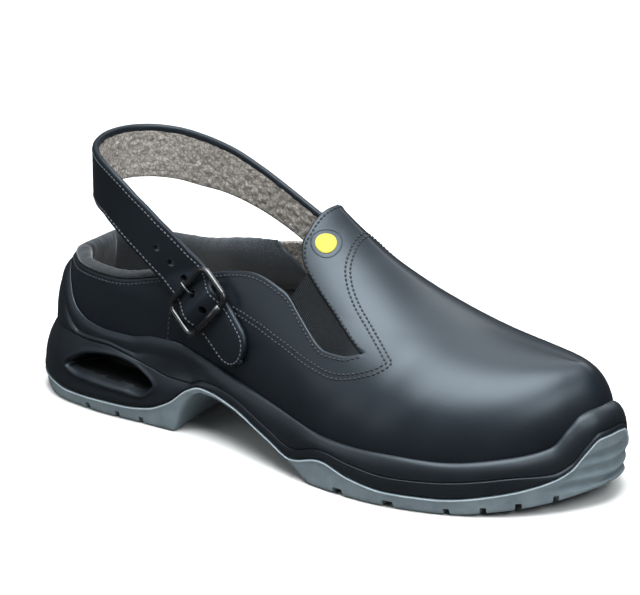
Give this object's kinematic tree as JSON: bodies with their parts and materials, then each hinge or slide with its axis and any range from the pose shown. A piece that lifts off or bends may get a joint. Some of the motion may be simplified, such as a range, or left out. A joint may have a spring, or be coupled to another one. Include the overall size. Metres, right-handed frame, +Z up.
{
  "type": "safety sandal",
  "caption": "Black leather slip-on safety sandal for the right foot, with elastic side gores, a padded collar, a buckled heel strap and a lugged rubber sole on a cupped foam midsole.",
  "frame": {"origin": "on the ground plane under the middle of the shoe's box", "axes": "+X from heel to toe, +Z up, and -Y towards the outer side of the foot, where the buckle is"},
  "size_m": [0.2966, 0.1087, 0.121],
  "materials": {
    "grey_rubber": "matt blue-grey moulded rubber",
    "black_foam": "satin black moulded polyurethane foam",
    "black_leather": "smooth black full-grain leather with a satin sheen",
    "taupe_lining": "matt grained taupe lining",
    "grey_textile": "soft napped dark grey textile",
    "black_elastic": "fine-ribbed black elastic webbing",
    "black_metal": "gloss black lacquer",
    "yellow_enamel": "plain yellow enamel"
  },
  "bodies": {
    "root": {"outsole": "grey_rubber", "midsole": "black_foam", "insole": "taupe_lining", "upper": "black_leather", "gore_lateral": "black_elastic", "gore_medial": "black_elastic", "collar_pad": "grey_textile", "heel_strap": "black_leather", "buckle_frame": "black_metal", "buckle_prong": "black_metal", "buckle_chape": "black_leather", "badge": "yellow_enamel"}
  },
  "joints": []
}
